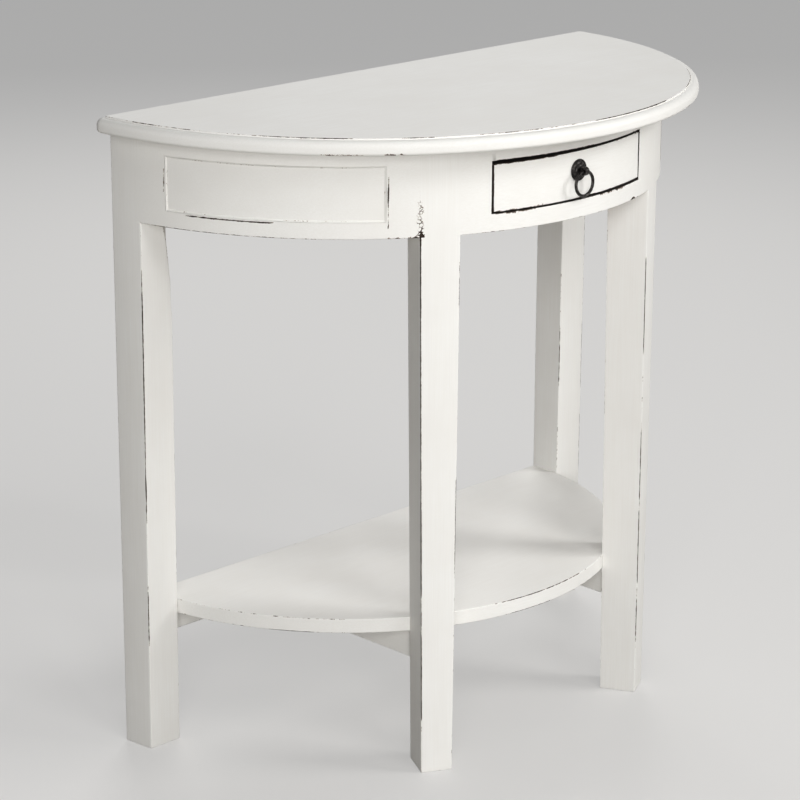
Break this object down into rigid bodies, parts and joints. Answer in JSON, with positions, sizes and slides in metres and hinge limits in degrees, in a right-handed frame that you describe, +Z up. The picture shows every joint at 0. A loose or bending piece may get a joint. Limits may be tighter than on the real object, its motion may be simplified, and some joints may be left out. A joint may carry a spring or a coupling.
{
  "type": "demilune table",
  "caption": "Half-round wall table on tapered legs, with a bowed drawer on a ring pull, inset side panels and a half-round lower shelf, in rubbed-through white paint.",
  "frame": {"origin": "on the floor, below the middle of the table's box", "axes": "+Z up, +X to the right as seen from the front, +Y towards the straight back that stands against the wall"},
  "size_m": [0.7999, 0.41, 0.75],
  "materials": {
    "painted_wood": "warm white matt paint, rubbed through to dark wood along the edges",
    "bare_wood": "planed, unfinished",
    "dark_iron": "blackened, slightly worn",
    "plain_steel": "plain"
  },
  "bodies": {
    "table_frame": {"top_panel": "painted_wood", "front_left_leg": "painted_wood", "front_right_leg": "painted_wood", "back_left_leg": "painted_wood", "back_right_leg": "painted_wood", "left_apron": "painted_wood", "right_apron": "painted_wood", "left_apron_panel": "painted_wood", "right_apron_panel": "painted_wood", "front_upper_rail": "painted_wood", "front_lower_rail": "painted_wood", "front_left_stile": "painted_wood", "front_right_stile": "painted_wood", "back_apron": "painted_wood", "back_stretcher": "painted_wood", "left_shelf_bearer": "painted_wood", "right_shelf_bearer": "painted_wood", "shelf": "painted_wood", "left_drawer_runner": "bare_wood", "right_drawer_runner": "bare_wood", "left_drawer_guide": "bare_wood", "right_drawer_guide": "bare_wood", "left_drawer_kicker": "bare_wood", "right_drawer_kicker": "bare_wood", "drawer_stops": "bare_wood", "left_top_block": "bare_wood", "right_top_block": "bare_wood", "back_left_top_block": "bare_wood", "back_right_top_block": "bare_wood", "top_screws": "plain_steel", "shelf_screws": "plain_steel", "leg_dowels": "bare_wood"},
    "drawer": {"drawer_front": "painted_wood", "drawer_left_side": "bare_wood", "drawer_right_side": "bare_wood", "drawer_back": "bare_wood", "drawer_bottom": "bare_wood", "drawer_pins": "plain_steel", "pull_backplate": "dark_iron", "pull_post": "dark_iron", "pull_washer": "plain_steel", "pull_nut": "plain_steel"},
    "pull_ring": {"pull_ring": "dark_iron"}
  },
  "joints": [
    {"name": "drawer_slide", "type": "slide", "parent": "table_frame", "child": "drawer", "axis": [0, -1, 0], "range_m": [0, 0.2]},
    {"name": "ring_swing", "type": "hinge", "parent": "drawer", "child": "pull_ring", "pos_m": [-0.005, -0.1669, 0.6865], "axis": [-1, 0, 0], "range_deg": [-10, 160]}
  ]
}
